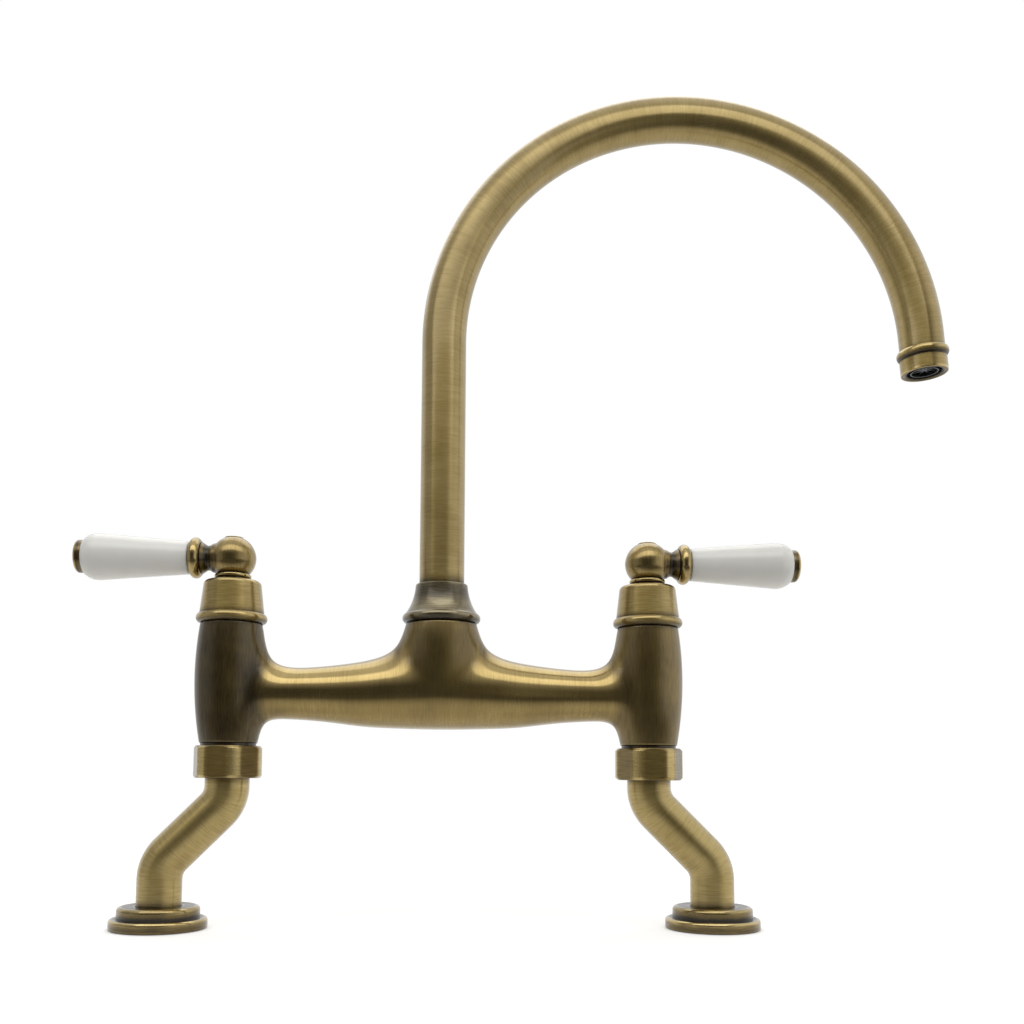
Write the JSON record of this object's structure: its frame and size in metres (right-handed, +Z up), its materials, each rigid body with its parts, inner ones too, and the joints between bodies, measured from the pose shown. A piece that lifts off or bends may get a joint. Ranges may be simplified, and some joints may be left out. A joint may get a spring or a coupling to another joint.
{
  "type": "kitchen tap",
  "caption": "Deck bridge mixer tap with a swivelling swan-neck spout, cranked legs on stepped roses and quarter-turn porcelain levers, in brushed antique brass.",
  "frame": {"origin": "on the deck plane, midway between the two inlet sockets in the feet", "axes": "+Z up from the deck, +X along the spout's rest direction, -Y towards the person at the sink"},
  "size_m": [0.4338, 0.0452, 0.4213],
  "materials": {
    "antique_brass": "brushed antique brass, lacquered",
    "antique_brass_dark": "brushed antique brass with a darker patina",
    "plain_brass": "machined",
    "porcelain": "glossy white glaze",
    "disc_ceramic": "lapped alumina",
    "steel": "plain stainless",
    "rubber": "matt black",
    "nylon": "natural nylon",
    "dark_plastic": "dark grey acetal"
  },
  "bodies": {
    "tap_body": {"bridge_body": "antique_brass_dark", "spout_collar": "antique_brass", "lower_slip_ring": "nylon", "upper_slip_ring": "nylon", "left_union_nut": "antique_brass", "left_union_washer": "rubber", "left_leg": "antique_brass", "left_rose": "antique_brass", "left_rose_seal": "rubber", "left_seat_seal": "rubber", "left_cartridge_body": "plain_brass", "left_fixed_disc": "disc_ceramic", "left_bonnet": "antique_brass", "right_union_nut": "antique_brass", "right_union_washer": "rubber", "right_leg": "antique_brass", "right_rose": "antique_brass", "right_rose_seal": "rubber", "right_seat_seal": "rubber", "right_cartridge_body": "plain_brass", "right_fixed_disc": "disc_ceramic", "right_bonnet": "antique_brass"},
    "spout": {"spout_tube": "antique_brass", "spout_root": "plain_brass", "spout_lower_o_ring": "rubber", "spout_upper_o_ring": "rubber", "nozzle": "antique_brass", "aerator_washer": "rubber", "aerator_insert": "dark_plastic"},
    "left_lever": {"left_lever_hub": "antique_brass", "left_lever_grip": "porcelain", "left_lever_rod": "steel", "left_lever_button": "antique_brass", "left_lever_screw": "steel", "left_lever_cap": "antique_brass", "left_spindle": "plain_brass", "left_moving_disc": "disc_ceramic"},
    "right_lever": {"right_lever_hub": "antique_brass", "right_lever_grip": "porcelain", "right_lever_rod": "steel", "right_lever_button": "antique_brass", "right_lever_screw": "steel", "right_lever_cap": "antique_brass", "right_spindle": "plain_brass", "right_moving_disc": "disc_ceramic"}
  },
  "joints": [
    {"name": "spout_swivel", "type": "hinge", "parent": "tap_body", "child": "spout", "pos_m": [0, 0, 0.15], "axis": [0, 0, 1], "continuous": true},
    {"name": "left_lever_turn", "type": "hinge", "parent": "tap_body", "child": "left_lever", "pos_m": [-0.1016, 0, 0.1772], "axis": [0, 0, 1], "range_deg": [0, 90]},
    {"name": "right_lever_turn", "type": "hinge", "parent": "tap_body", "child": "right_lever", "pos_m": [0.1016, 0, 0.1772], "axis": [0, 0, 1], "range_deg": [-90, 0]}
  ]
}
